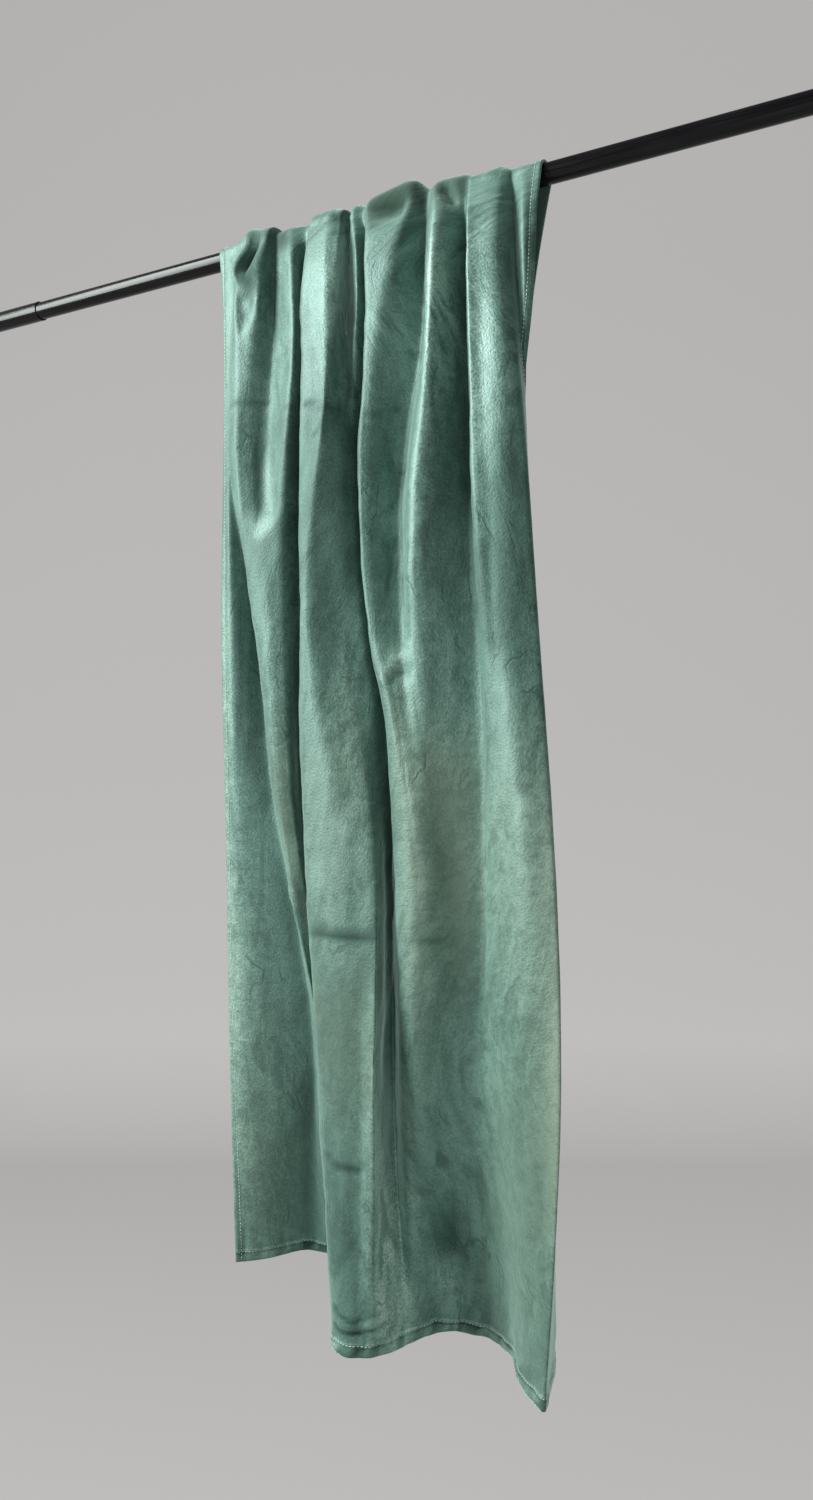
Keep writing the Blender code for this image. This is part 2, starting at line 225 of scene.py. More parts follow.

# Soft creases pressed into the cloth: how far they stand out, their half width, how much lighter or darker
# they look, which is painted shade in the sunken ones and painted highlight on the raised ones, and the fold
# lines and the places down the cloth that they run through.
Crease = namedtuple("Crease", "out half_width shade path")
CREASES = (
    Crease(-1.2, 4, -0.38, ((2.2, 212), (3.9, 218), (4.9, 214))),
    Crease(-1.2, 4, -0.32, ((5.8, 228), (7.7, 228))),
    Crease(-1.1, 4, -0.38, ((8.3, 236), (10.2, 243), (10.8, 246))),
    Crease(-1.2, 4, -0.38, ((14.4, 260), (15.0, 260), (15.6, 252))),
    Crease(-2.0, 4, -0.55, ((8.2, 1155), (8.8, 1163), (9.3, 1164), (9.8, 1155))),
    Crease(-2.2, 3, -0.90, ((8.2, 1346), (8.8, 1350), (9.3, 1350), (10.1, 1346), (11.5, 1341))),
    Crease(-1.6, 3, -0.60, ((8.3, 1332), (9.2, 1337), (10.3, 1331), (11.0, 1326))),
    Crease(1.2, 3, 0.20, ((10.2, 572), (12.2, 584))),
    Crease(1.2, 3, 0.20, ((9.9, 586), (12.2, 600))),
    Crease(1.2, 3, 0.20, ((10.0, 601), (12.0, 615))),
    Crease(1.1, 3, 0.18, ((10.2, 617), (12.0, 630))),
    Crease(0.6, 4, 0.15, ((19.2, 97), (19.6, 105))),
    Crease(0.6, 4, 0.15, ((19.2, 110), (19.6, 118))),
    Crease(0.6, 4, 0.15, ((19.2, 124), (19.6, 133))),
    Crease(0.6, 4, 0.12, ((19.2, 138), (19.6, 146))),
    Crease(2.0, 6, 0.30, ((2.7, 859), (4.0, 868), (4.8, 876), (6.6, 890))),
    Crease(-0.8, 4, -0.15, ((9.2, 1245), (8.9, 1268), (8.6, 1286))),
    Crease(-1.2, 5, -0.12, ((20.0, 1007), (19.9, 1080), (19.9, 1155))),
    Crease(-1.2, 5, -0.25, ((20.3, 1130), (20.35, 1170), (20.3, 1204))),
    Crease(-2.2, 5, -0.35, ((15.0, 1334), (15.1, 1364))),
    Crease(-1.2, 4, -0.20, ((14.2, 1334), (14.9, 1361))),
    Crease(3.0, 5, 0.45, ((14.8, 590), (15.4, 578), (16.1, 563), (16.7, 555))),
    Crease(-2.0, 5, -0.25, ((15.2, 592), (16.0, 584), (16.8, 576))),
    Crease(1.2, 4, 0.15, ((15.6, 606), (16.2, 598), (16.8, 590))),
    Crease(-1.6, 4, -0.25, ((3.6, 84), (3.4, 100), (3.3, 119))),
    Crease(-1.4, 4, -0.20, ((1.7, 10), (2.1, 60), (2.3, 114))),
    Crease(-1.0, 4, -0.25, ((8.8, 276), (9.6, 275), (10.1, 278))),
    Crease(-1.0, 4, -0.20, ((0.5, 1334), (0.3, 1361))),
    Crease(-1.0, 4, -0.20, ((0.8, 1334), (0.85, 1361))),
    Crease(-1.6, 3, -0.50, ((20.05, -14), (20.0, 0), (20.1, 26))),
    Crease(-1.6, 3, -0.40, ((9.3, -14), (9.8, 0), (9.9, 24))),
    Crease(-1.6, 3, -0.40, ((10.6, -14), (10.9, 0), (10.8, 30))),
)

# Patches where the cloth looks lighter or darker and turns olive. The olive is the pile's own colour;
# the lighter and darker are mostly painted light and shade: painted shadow in gaps, pockets, pinches
# and hollows (the gap_, top_ and pinch_ patches, loop_top, loop_dark, border_left, dark_f, hem_pocket),
# painted light and highlights on rims and on faces turned from the lamps (border_foot, tip_turn,
# left_edge, left_face, pocket_lip, pocket_side, gather_d, hem_bright) and painted light and shade on the
# faces of the folds (the fold_ patches). Each has its fold line, how far down the cloth it is, its half
# width in lines, its half length up and down, how much lighter or darker the cloth looks there, and how
# far it goes to olive.
Patch = namedtuple("Patch", "name line down half_width up_length down_length shade olive")
PATCHES = (
    Patch("packed_left", 5.0, 300, 3.5, 80, 200, -0.20, 0.1),
    Patch("packed_middle", 11.0, 300, 4.0, 60, 230, -0.25, 0.0),
    Patch("packed_right", 20.0, 330, 2.2, 110, 240, -0.35, 0.0),
    Patch("fold_g_bright", 20.1, 800, 1.6, 170, 200, 0.34, 0.3),
    Patch("fold_g_low", 19.6, 1190, 1.3, 150, 200, -0.16, 0.5),
    Patch("right_strip", 20.7, 1060, 0.6, 160, 140, 0.12, 0.5),
    Patch("blotch", 17.0, 735, 0.9, 60, 130, -0.25, 0.5),
    Patch("blotch_low", 17.1, 870, 0.7, 60, 90, -0.20, 0.4),
    Patch("fold_e", 15.2, 800, 1.0, 200, 220, 0.25, 0.5),
    Patch("band_c", 9.0, 898, 1.6, 7, 6, -0.75, 0.1),
    Patch("band_e", 15.8, 900, 0.8, 8, 8, -0.70, 0.1),
    Patch("fold_c", 9.0, 780, 1.8, 140, 120, 0.10, 0.3),
    Patch("fold_c_low", 8.9, 1010, 1.5, 90, 110, -0.32, 0.5),
    Patch("fold_c_foot", 8.9, 1240, 1.5, 100, 120, -0.56, 0.1),
    # painted light on a face turned away from the lamps
    Patch("border_foot", 11.9, 1250, 1.6, 170, 160, 2.20, 0.0),
    Patch("tip_face", 20.9, 900, 0.4, 200, 260, 0.50, 0.2),
    Patch("left_face", 1.0, 1150, 0.8, 260, 260, 0.50, 0.1),
    Patch("dark_f", 17.8, 330, 0.5, 260, 220, -0.45, 0.0),
    # gap_a to gap_g: painted shadow along the deep gap left of each rim
    Patch("gap_a", 2.55, 620, 0.30, 200, 420, -0.80, 0.0),
    Patch("gap_c", 7.55, 470, 0.30, 440, 480, -0.80, 0.0),
    Patch("gap_e", 13.5, 470, 0.35, 440, 480, -0.80, 0.0),
    Patch("gap_g", 18.55, 400, 0.35, 400, 300, -0.80, 0.0),
    Patch("border_ridge", 10.3, 1100, 0.5, 150, 180, 0.70, 0.1),
    Patch("border_left", 2.2, 1130, 0.75, 330, 260, -0.62, 0.0),
    Patch("fold_c_right", 10.2, 640, 0.9, 90, 90, 0.50, 0.1),
    Patch("fold_e_wide", 16.9, 720, 1.5, 120, 260, 0.45, 0.15),
    Patch("pocket_lip", 4.8, 386, 0.5, 12, 14, 0.70, 0.0),
    Patch("pocket_side", 5.2, 350, 0.3, 60, 34, 0.60, 0.0),
    Patch("gap_low", 12.4, 850, 1.0, 260, 240, -0.60, 0.0),
    Patch("fold_c_wide", 9.3, 90, 0.5, 70, 110, 0.80, 0.0),
    Patch("fold_f_top", 17.0, 90, 0.5, 70, 110, 0.70, 0.0),
    Patch("fold_g_left", 19.2, 210, 0.4, 170, 200, 0.90, 0.0),
    Patch("gather_d", 10.3, 75, 0.8, 60, 50, 0.60, 0.0),
    # painted light on the tip's turned face, which faces away from the lamps
    Patch("tip_turn", 21.35, 1270, 0.35, 200, 120, 1.20, 0.1),
    Patch("fold_b_side", 5.3, 590, 0.9, 80, 120, 0.80, 0.0),
    # top_pocket to pinch_c: painted shade in the pockets, pinches and gaps over the rod
    Patch("top_pocket", 14.44, 2, 0.55, 20, 18, -0.82, 0.9),
    Patch("top_fold", 17.06, -3, 0.70, 30, 18, -0.80, 0.8),
    Patch("top_pinch", 18.1, -8, 0.50, 30, 20, -0.90, 0.2),
    Patch("top_dark", 15.67, 0, 0.30, 24, 18, -0.70, 0.1),
    Patch("gap_dark", 5.56, 0, 0.45, 24, 22, -0.80, 0.0),
    Patch("loop_top", 3.72, -10, 0.60, 16, 10, -0.60, 0.2),
    Patch("loop_dark", 3.56, 42, 0.24, 40, 34, -1.00, 0.0),
    Patch("pinch_d", 9.94, -5, 0.50, 20, 14, -0.70, 0.1),
    Patch("pinch_c", 8.2, -14, 0.60, 14, 8, -0.60, 0.1),
    Patch("border_mid", 13.8, 1110, 0.8, 70, 70, 0.20, 0.1),
    Patch("hem_pocket", 15.9, 1256, 0.8, 36, 24, -0.60, 0.0),
    Patch("hem_bright", 16.1, 1304, 0.7, 20, 26, 0.70, 0.0),
    Patch("hem_dark", 17.5, 1310, 1.0, 50, 60, -0.20, 0.0),
    Patch("left_edge", 0.15, 780, 0.8, 450, 540, 1.05, 0.1),
    Patch("left_foot", 0.9, 1250, 1.2, 90, 90, -0.10, 0.1),
    Patch("fold_b_olive", 4.6, 780, 1.2, 120, 110, 0.10, 0.6),
    Patch("fold_f", 16.9, 300, 0.95, 260, 220, 0.60, 0.0),
    Patch("fold_g_top", 19.75, 170, 0.9, 180, 150, 0.80, 0.0),
    Patch("fold_c_top", 8.6, 110, 1.6, 60, 80, 0.05, 0.0),
    Patch("top_lobe", 14.94, -14, 0.80, 30, 18, -0.80, 0.8),
    Patch("tip_dark", 21.0, 1330, 0.6, 60, 60, -0.25, 0.1),
)


def smooth_through(knots, values, place):
    """The natural cubic spline through each column of values, read at one place."""
    knots = np.array(knots, float)
    count = len(knots)
    step = np.diff(knots)
    slope = np.diff(values, axis=0) / step[:, None]
    system = np.zeros((count, count))
    system[0, 0] = system[-1, -1] = 1.0
    known = np.zeros_like(values)
    for i in range(1, count - 1):
        system[i, i - 1:i + 2] = step[i - 1], 2 * (step[i - 1] + step[i]), step[i]
        known[i] = 6 * (slope[i] - slope[i - 1])
    bend = np.linalg.solve(system, known)
    k = min(max(int(np.searchsorted(knots, place, side="right")) - 1, 0), count - 2)
    a = (knots[k + 1] - place) / step[k]
    b = 1 - a
    curved = (a ** 3 - a) * bend[k] + (b ** 3 - b) * bend[k + 1]
    return a * values[k] + b * values[k + 1] + curved * step[k] ** 2 / 6


def bell(distance, half_width):
    """One at no distance, dying away over about a half width."""
    return np.exp(-(distance / half_width) ** 2)


def spot(a, b):
    """One in the middle of a spot, dying away across the fold lines and, more squarely, along them."""
    return np.exp(-a ** 2 - np.abs(b) ** END_SQUARENESS)


def column(name):
    """One column of the fold table, with a row for each level where the column has several."""
    return np.array([getattr(fold, name) for fold in FOLDS], float).T


def back_gathers():
    """How far each fold stands off behind the rod, where the gathers have flattened."""
    return CLEAR_OF_AXIS + BACK_GATHER_SHARE * np.maximum(column("out")[0] - CLEAR_OF_AXIS, 0)


def front_row(drop):
    """The fold points of a row in front, their turns, its place down the cloth and its way out."""
    share = drop / FRONT_DROP
    across = smooth_through(DROPS, column("across"), drop)
    out = smooth_through(DROPS, column("out"), drop)
    turns = column("turn_rod") * (1 - share) + column("turn_hem") * share
    points = np.stack([across, out, np.full(len(FOLDS), -drop)], 1)
    return points, turns, drop, (1.0, 0.0)


def over_row(angle):
    """The same for a row over the rod, at an angle from its front."""
    way = (math.cos(angle), math.sin(angle))
    side = column("out")[0] if angle < math.pi / 2 else back_gathers()
    radius = side * way[0] ** 2 + column("over") * way[1] ** 2
    points = np.stack([column("across")[0], radius * way[0], radius * way[1]], 1)
    return points, column("turn_rod"), -GATHER_PATH_RADIUS * angle, way


def back_row(drop):
    """The same for a row behind, where the sheet draws in and swings out to its hem."""
    share = drop / BACK_DROP
    drawn = 1 - (1 - share) ** BACK_DRAW_POWER
    eased = share * share * (3 - 2 * share)
    swung = (share + eased) / 2
    across = column("across")[0] * (1 - drawn) + column("back_across") * drawn
    out = -back_gathers() * (1 - swung) + column("back_out") * swung
    points = np.stack([across, out, np.full(len(FOLDS), -drop)], 1)
    down = -GATHER_PATH_RADIUS * math.pi - drop
    return points, column("turn_rod") + BACK_TURN_GROWTH * share, down, (-1.0, 0.0)


def cage(points, turns):
    """Three control points for each fold point: before it, on it and after it, a turn apart."""
    run = np.diff(points, axis=0)
    length = np.linalg.norm(run, axis=1)
    unit = run / length[:, None]
    reach_on = np.minimum(turns[:-1], LONGEST_TURN_SHARE * length)[:, None]
    reach_back = np.minimum(turns[1:], LONGEST_TURN_SHARE * length)[:, None]
    after = points[:-1] + unit * reach_on
    before = points[1:] - unit * reach_back
    inner = np.stack([before[:-1], points[1:-1], after[1:]], 1).reshape(-1, 3)
    return np.concatenate([points[:1], after[:1], inner, before[-1:], points[-1:]])


def soft_curve(points, turns, marks):
    """The cubic B-spline on a row's cage, read at marks counted in control points."""
    p = cage(points, turns)
    p = np.concatenate([[2 * p[0] - p[1]], p, [2 * p[-1] - p[-2]]])
    k = np.clip(np.floor(marks).astype(int), 0, len(p) - 4)
    t = (marks - k)[:, None]
    return ((1 - t) ** 3 * p[k] + (3 * t ** 3 - 6 * t ** 2 + 4) * p[k + 1]
            + (-3 * t ** 3 + 3 * t ** 2 + 3 * t + 1) * p[k + 2] + t ** 3 * p[k + 3]) / 6


def dented(row, marks, down, way):
    """The row with the local swells and pinches, eased off the rod along its way out."""
    line = marks / CONTROLS_A_LINE
    for dent in DENTS:
        b = (down - dent.down) / (dent.down_length if down > dent.down else dent.up_length)
        a = (line - dent.line) / dent.half_width - dent.lean * b
        share = spot(a, b)
        row[:, 0] += dent.side * share
        row[:, 1] += dent.out * share * way[0]
        row[:, 2] += dent.out * share * way[1]
    height = row[:, 1] * way[0] + row[:, 2] * way[1]
    beside = row[:, 1] * way[1] - row[:, 2] * way[0]
    least = CLEAR_OF_AXIS - beside ** 2 / ROD_REACH
    spare = (height - least) / EASING
    lift = EASING * np.log1p(np.exp(-np.abs(spare))) + np.maximum(-spare * EASING, 0)
    row[:, 1] += lift * way[0]
    row[:, 2] += lift * way[1]
    return row


def front_drops():
    """The drops of the front's rows, from the hem up: set ones at the hem, and closest near the rod."""
    hem = FRONT_DROP - np.array(HEM_ROWS)
    reach = np.linspace(0, hem[-1], SPACING_SAMPLES)
    closeness = 1 / ROW_SPACING + bell(reach, CLOSE_REACH) / CLOSE_SPACING
    passed = np.concatenate([[0], np.cumsum((closeness[1:] + closeness[:-1]) / 2)])
    rest = np.interp(np.linspace(passed[-1], 0, FRONT_ROWS - len(hem) + 2), passed, reach)
    return np.concatenate([hem, rest[1:]])


def over_angles():
    """The angles of the rows over the rod, from its front to its back."""
    return np.linspace(0, math.pi, OVER_ROWS + 2)[1:-1]


def back_drops():
    """The drops of the rows behind, from the rod down to the back hem."""
    return np.linspace(0, BACK_DROP, BACK_ROWS)


def row_downs():
    """How far down the cloth each row is from the rod's front, from the front hem to the back one."""
    over = GATHER_PATH_RADIUS * over_angles()
    back = GATHER_PATH_RADIUS * math.pi + back_drops()
    return np.concatenate([front_drops(), -over, -back])


def sheet_rows(marks):
    """The middle of the sheet as rows of points in millimetres: across, out and up."""
    sections = [front_row(drop) for drop in front_drops()]
    sections += [over_row(angle) for angle in over_angles()]
    sections += [back_row(drop) for drop in back_drops()]
    return np.array([dented(soft_curve(points, turns, marks), marks, down, way)
                     for points, turns, down, way in sections])


def in_frame(rows):
    """Across, out and up in millimetres as X, Y and Z in metres."""
    x = rows[..., 0] - GATHERED_WIDTH / 2
    return np.stack([x, -rows[..., 1], rows[..., 2]], -1) * MM


def cloth_normals(rows):
    """The way out of the cloth's outer side at each point of rows given as across, out and up."""
    upward = np.gradient(rows, axis=0)
    along = np.gradient(rows, axis=1)
    normal = np.cross(upward, along)
    return normal / np.linalg.norm(normal, axis=2)[..., None]


def cloth_lengths(rows):
    """How far each point is from the left edge and from the front hem, both measured along the cloth."""
    across = np.linalg.norm(np.diff(rows, axis=1), axis=2)
    along = np.concatenate([np.zeros((rows.shape[0], 1)), np.cumsum(across, axis=1)], 1)
    mean_row = np.linalg.norm(np.diff(rows, axis=0), axis=2).mean(1)
    up = np.concatenate([[0], np.cumsum(mean_row)])
    return along, np.repeat(up[:, None], rows.shape[1], axis=1)


def waves(wave, x, y):
    """Gentle uneven waves over the cloth, whose spread is the wave's height."""
    draw = np.random.default_rng(wave.seed)
    y = wave.closeness * y
    total = np.zeros_like(x)
    for _ in range(WAVE_COUNT):
        turn = draw.uniform(0, 2 * math.pi)
        pace = 2 * math.pi / (wave.size * draw.uniform(*WAVE_SIZES))
        total += np.sin(pace * (x * math.cos(turn) + y * math.sin(turn)) + draw.uniform(0, 2 * math.pi))
    return wave.height * (total / math.sqrt(WAVE_COUNT / 2))


def distance_to(path, x, y):
    """How far each place x, y is from a path of points."""
    best = np.full(x.shape, np.inf)
    for (ax, ay), (bx, by) in zip(path, path[1:]):
        dx, dy = bx - ax, by - ay
        t = np.clip(((x - ax) * dx + (y - ay) * dy) / (dx * dx + dy * dy), 0, 1)
        best = np.minimum(best, np.hypot(x - ax - t * dx, y - ay - t * dy))
    return best


def creases(marks, along, up):
    """How far the creases stand out of the cloth at each point, and the painted shade and highlight they add.
    """
    out = np.zeros_like(along)
    shade = np.zeros_like(along)
    downs = row_downs()
    lines = marks / CONTROLS_A_LINE
    for crease in CREASES:
        path = []
        for line, down in crease.path:
            row = int(np.argmin(np.abs(downs - down)))
            path.append((np.interp(line, lines, along[row]), up[row, 0]))
        share = bell(distance_to(path, along, up), crease.half_width)
        out += crease.out * share
        shade += crease.shade * share
    return out, shade


def patches(marks):
    """How much lighter, as painted light and shade, and how much more olive the cloth looks at each point."""
    line = (marks / CONTROLS_A_LINE)[None, :]
    downs = row_downs()[:, None]
    shade = np.zeros((len(downs), len(marks)))
    olive = np.zeros_like(shade)
    for patch in PATCHES:
        a = (line - patch.line) / patch.half_width
        b = (downs - patch.down) / np.where(downs > patch.down, patch.down_length, patch.up_length)
        share = spot(a, b)
        shade += patch.shade * share
        olive += patch.olive * share
    return shade, olive


def small_waves(rows, marks, along, up, edges):
    """How far the waves that the solid doesn't have stand out of the cloth at each point."""
    left, right, front, back = edges
    off_rod = np.linalg.norm(rows[..., 1:], axis=2) - STILL_RADIUS
    free = np.clip(off_rod / STILL_FADE, 0, 1)
    inside = np.clip(np.minimum(left, right) / SIDE_FADE, 0, 1)
    inside *= 1 - TIP_STILLNESS * bell(marks / CONTROLS_A_LINE - TIP_LINE, TIP_HALF_WIDTH)
    out = free * inside * sum(waves(wave, along, up) for wave in LOOSE_WAVES)
    for edge, wave in ((front, FRONT_HEM_WAVE), (back, BACK_HEM_WAVE)):
        out += waves(wave, along, edge) * bell(edge - HEM_STITCHED, HEM_WAVE_REACH)
    return out


def hem_relief(edge, band, stitched):
    """How far the outer side of a turned hem stands out, by the distance from its edge."""
    groove = GROOVE_DEPTH * bell(edge - stitched, GROOVE_HALF_WIDTH)
    return HEM_HEIGHT / (1 + np.exp((edge - band) / HEM_STEP)) - groove


def hems_relief(edges):
    """The same for all four hems, by the distances from the four edges."""
    left, right, front, back = edges
    relief = sum(hem_relief(edge, HEM_BAND, HEM_STITCHED) for edge in (front, back))
    relief += sum(hem_relief(edge, SIDE_BAND, SIDE_STITCHED) for edge in (left, right))
    return np.clip(relief, LOWEST_RELIEF, HIGHEST_RELIEF)


def hem_shade(along, up):
    """The painted light and shade of the front hem's bands and puckers at each point."""
    bands = sum(band.shade * bell(up - band.up, band.half_width) for band in HEM_BANDS)
    return bands + waves(PUCKER_SHADE, along, up) * bell(up - PUCKER_SHADE_UP, PUCKER_SHADE_HALF_WIDTH)


def grid_faces(rows, columns, start=0, flip=False):
    """The faces of a grid of points, the first of which has the number start."""
    a = (np.arange(rows - 1)[:, None] * columns + np.arange(columns - 1)[None, :]).ravel() + start
    quads = np.stack([a, a + 1, a + columns + 1, a + columns], 1)
    return quads[:, ::-1] if flip else quads


def rim_faces(rows, columns):
    """The faces that join the front skin's edge to the back skin's."""
    behind = rows * columns
    last = (rows - 1) * columns
    c = np.arange(columns - 1)
    r = np.arange(rows - 1)
    edges = np.concatenate([
        np.stack([c + 1, c], 1),
        np.stack([last + c, last + c + 1], 1),
        np.stack([r * columns, (r + 1) * columns], 1),
        np.stack([(r + 2) * columns - 1, (r + 1) * columns - 1], 1),
    ])
    return np.concatenate([edges, behind + edges[:, ::-1]], 1)


def set_numbers(mesh, name, values):
    """One number for each point of the mesh, under an attribute's name."""
    made = mesh.attributes.new(name, "FLOAT", "POINT")
    made.data.foreach_set("value", np.asarray(values, np.float32))


def grid_object(name, points, faces, attributes):
    """A mesh object from points, faces and one number for each point under each attribute's name."""
    mesh = bpy.data.meshes.new(name)
    mesh.from_pydata(points.tolist(), [], faces.tolist())
    for key, values in attributes.items():
        set_numbers(mesh, key, values)
    mesh.shade_smooth()
    mesh.update()
    made = bpy.data.objects.new(name, mesh)
    bpy.context.collection.objects.link(made)
    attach(made, "root")
    return made


def between(grid, place):
    """The row of a grid at a place between two of its rows."""
    k = min(int(place), len(grid) - 2)
    return grid[k] * (k + 1 - place) + grid[k + 1] * (place - k)


def stitches(name, path, out):
    """A row of stitches along a path on the cloth, with the ways out of the cloth along it."""
    ring_along, ring_lift, ring_girth = np.array(THREAD_RINGS).T
    run = np.concatenate([[0], np.cumsum(np.linalg.norm(np.diff(path, axis=0), axis=1))])
    first = np.arange(STITCH_PITCH, run[-1] - 2 * STITCH_PITCH, STITCH_PITCH)
    stations = first[:, None] + STITCH_LENGTH * ring_along
    centre = np.stack([np.interp(stations, run, path[:, i]) for i in range(3)], -1)
    away = np.stack([np.interp(stations, run, out[:, i]) for i in range(3)], -1)
    ahead = centre[:, -1:] - centre[:, :1]
    side = np.cross(ahead, away)
    side /= np.linalg.norm(side, axis=-1, keepdims=True)
    lift = ring_lift[None, :, None]
    spread = THREAD_RADIUS * ring_girth[None, :, None]
    corners = [centre + away * (lift + spread * up) + side * spread * aside for aside, up in THREAD_CORNERS]
    points = np.stack(corners, 2).reshape(-1, 3)
    sides = len(THREAD_CORNERS)
    last_ring = (len(THREAD_RINGS) - 1) * sides
    faces = []
    for k in range(len(first)):
        start = k * len(THREAD_RINGS) * sides
        for a in range(start, start + last_ring, sides):
            faces += [(a + i, a + (i + 1) % sides, a + sides + (i + 1) % sides, a + sides + i)
                      for i in range(sides)]
        faces.append(tuple(start + i for i in reversed(range(sides))))
        faces.append(tuple(start + last_ring + i for i in range(sides)))
    return grid_object(name, in_frame(points), np.array(faces), {})


def sew_hems(front, outward, along, up, finish):
    """The stitches of the front, back, left and right hems, on the cloth's outer side."""
    n_rows, n_columns = along.shape
    seams = []
    for name, place in (("front_hem_thread", HEM_STITCHED), ("back_hem_thread", up[-1, 0] - HEM_STITCHED)):
        row = np.interp(place, up[:, 0], np.arange(n_rows))
        seams.append(stitches(name, between(front, row), between(outward, row)))
    for name, places in (("left_hem_thread", np.full(n_rows, SIDE_STITCHED)),
                         ("right_hem_thread", along[:, -1] - SIDE_STITCHED)):
        columns = [np.interp(place, along[r], np.arange(n_columns)) for r, place in enumerate(places)]
        path = np.array([between(front[r], at) for r, at in enumerate(columns)])
        way = np.array([between(outward[r], at) for r, at in enumerate(columns)])
        seams.append(stitches(name, path, way))
    for seam in seams:
        seam.data.materials.append(finish)
    return seams


def build_cloth(finish, thread):
    """The velvet panel: its two skins and their rim, and the stitches on it."""
    last_mark = CONTROLS_A_LINE * (len(FOLDS) - 1)
    marks = np.linspace(0, last_mark, int(last_mark * COLUMNS_A_CONTROL) + 1)
    rows = sheet_rows(marks)
    along, up = cloth_lengths(rows)
    edges = (along, along[:, -1:] - along, up, up[-1, 0] - up)
    out, crease_shade = creases(marks, along, up)
    out += small_waves(rows, marks, along, up, edges)
    rows = rows + cloth_normals(rows) * out[..., None]
    outward = cloth_normals(rows)
    front = rows + outward * (SHEET_THICKNESS / 2 + hems_relief(edges))[..., None]
    behind = rows - outward * (SHEET_THICKNESS / 2)
    n_rows, n_columns = along.shape
    faces = np.concatenate([
        grid_faces(n_rows, n_columns),
        grid_faces(n_rows, n_columns, n_rows * n_columns, flip=True),
        rim_faces(n_rows, n_columns),
    ])
    print("cloth", n_rows, n_columns, "triangles", 2 * len(faces))
    shade, olive = patches(marks)
    points = in_frame(np.concatenate([front.reshape(-1, 3), behind.reshape(-1, 3)]))
    cloth = grid_object("velvet_panel", points, faces, {
        "across": np.tile(along.ravel() * MM, 2),
        "up": np.tile(up.ravel() * MM, 2),
        "shade": np.tile((shade + crease_shade + hem_shade(along, up)).ravel(), 2),
        "olive": np.tile(olive.ravel(), 2),
        "back_skin": np.concatenate([np.zeros(along.size), np.ones(along.size)]),
    })
    cloth.data.materials.append(finish)
    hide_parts("curtain")
    seams = sew_hems(front, outward, along, up, thread)


# Nodes that the materials are made of

def new_material(name):
    made = bpy.data.materials.new(name)
    made.use_nodes = True
    return made, made.node_tree, made.node_tree.nodes["Principled BSDF"]


def linked(tree, kind, inputs, **settings):
    """A node of this kind with its settings, its inputs given as values or as sockets that feed them."""
    node = tree.nodes.new(kind)
    for key, value in settings.items():
        setattr(node, key, value)
    for key, value in inputs.items():
        if isinstance(value, bpy.types.NodeSocket):
            tree.links.new(value, node.inputs[key])
        else:
            node.inputs[key].default_value = value
    return node


def math_node(tree, operation, first, second):
    return linked(tree, "ShaderNodeMath", {0: first, 1: second}, operation=operation).outputs[0]


def attribute(tree, name):
    return linked(tree, "ShaderNodeAttribute", {}, attribute_name=name).outputs["Fac"]


def object_place(tree):
    return linked(tree, "ShaderNodeTexCoord", {}).outputs["Object"]


def stretched(tree, place, scales):
    """The place with its sides scaled, so that a noise on it runs long where the scale is small."""
    return linked(tree, "ShaderNodeVectorMath", {0: place, 1: scales}, operation="MULTIPLY").outputs[0]


def noise(tree, place, scale, detail, roughness=0.5, distortion=0.0):
    """A noise with about as many blobs to a metre as its scale says."""
    inputs = {
        "Vector": place,
        "Scale": scale,
        "Detail": detail,
        "Roughness": roughness,
        "Distortion": distortion,
    }
    return linked(tree, "ShaderNodeTexNoise", inputs).outputs["Fac"]


def ranged(tree, value, taken, given):
    """The value, carried from the range it is taken in to the range it is given out in, and kept to that."""
    inputs = {
        "Value": value,
        "From Min": taken[0],
        "From Max": taken[1],
        "To Min": given[0],
        "To Max": given[1],
    }
    return linked(tree, "ShaderNodeMapRange", inputs).outputs[0]


def ramp_of(tree, factor, *stops):
    """A colour ramp through stops of (place, colour)."""
    node = linked(tree, "ShaderNodeValToRGB", {"Fac": factor})
    elements = node.color_ramp.elements
    while len(elements) < len(stops):
        elements.new(0.5)
    for element, (place, colour) in zip(elements, stops):
        element.position = place
        element.color = (*colour, 1)
    return node.outputs["Color"]


def mixed(tree, factor, first, second, blend="MIX"):
    node = linked(tree, "ShaderNodeMix", {}, data_type="RGBA", blend_type=blend)
    for place, value in (("Factor_Float", factor), ("A_Color", first), ("B_Color", second)):
        socket = next(i for i in node.inputs if i.identifier == place)
        if isinstance(value, bpy.types.NodeSocket):
            tree.links.new(value, socket)
        else:
            socket.default_value = value
    return next(o for o in node.outputs if o.identifier == "Result_Color")


def bump(tree, height, strength, distance, under=None, invert=False):
    """A bump of this height, laid over the normal of the bump under it."""
    inputs = {"Height": height, "Strength": strength, "Distance": distance}
    if under is not None:
        inputs["Normal"] = under
    return linked(tree, "ShaderNodeBump", inputs, invert=invert).outputs[0]


# Velvet: its pile from crushed to brushed, the olive that it turns to and its plain back

PILE_TONES = (
    (0.38, (0.022, 0.060, 0.045)),
    (0.50, (0.052, 0.118, 0.092)),
    (0.62, (0.100, 0.192, 0.155)),
)
OLIVE = (0.092, 0.134, 0.090, 1)
# The back's own plain colour, made darker as painted shade for the inside of the back flap
BACK_TONES = ((0.3, (0.028, 0.056, 0.045)), (0.7, (0.042, 0.076, 0.062)))
GLOSS_TINT = (0.70, 1.0, 0.93, 1)
SHEEN_TINT = (0.66, 1.0, 0.87, 1)

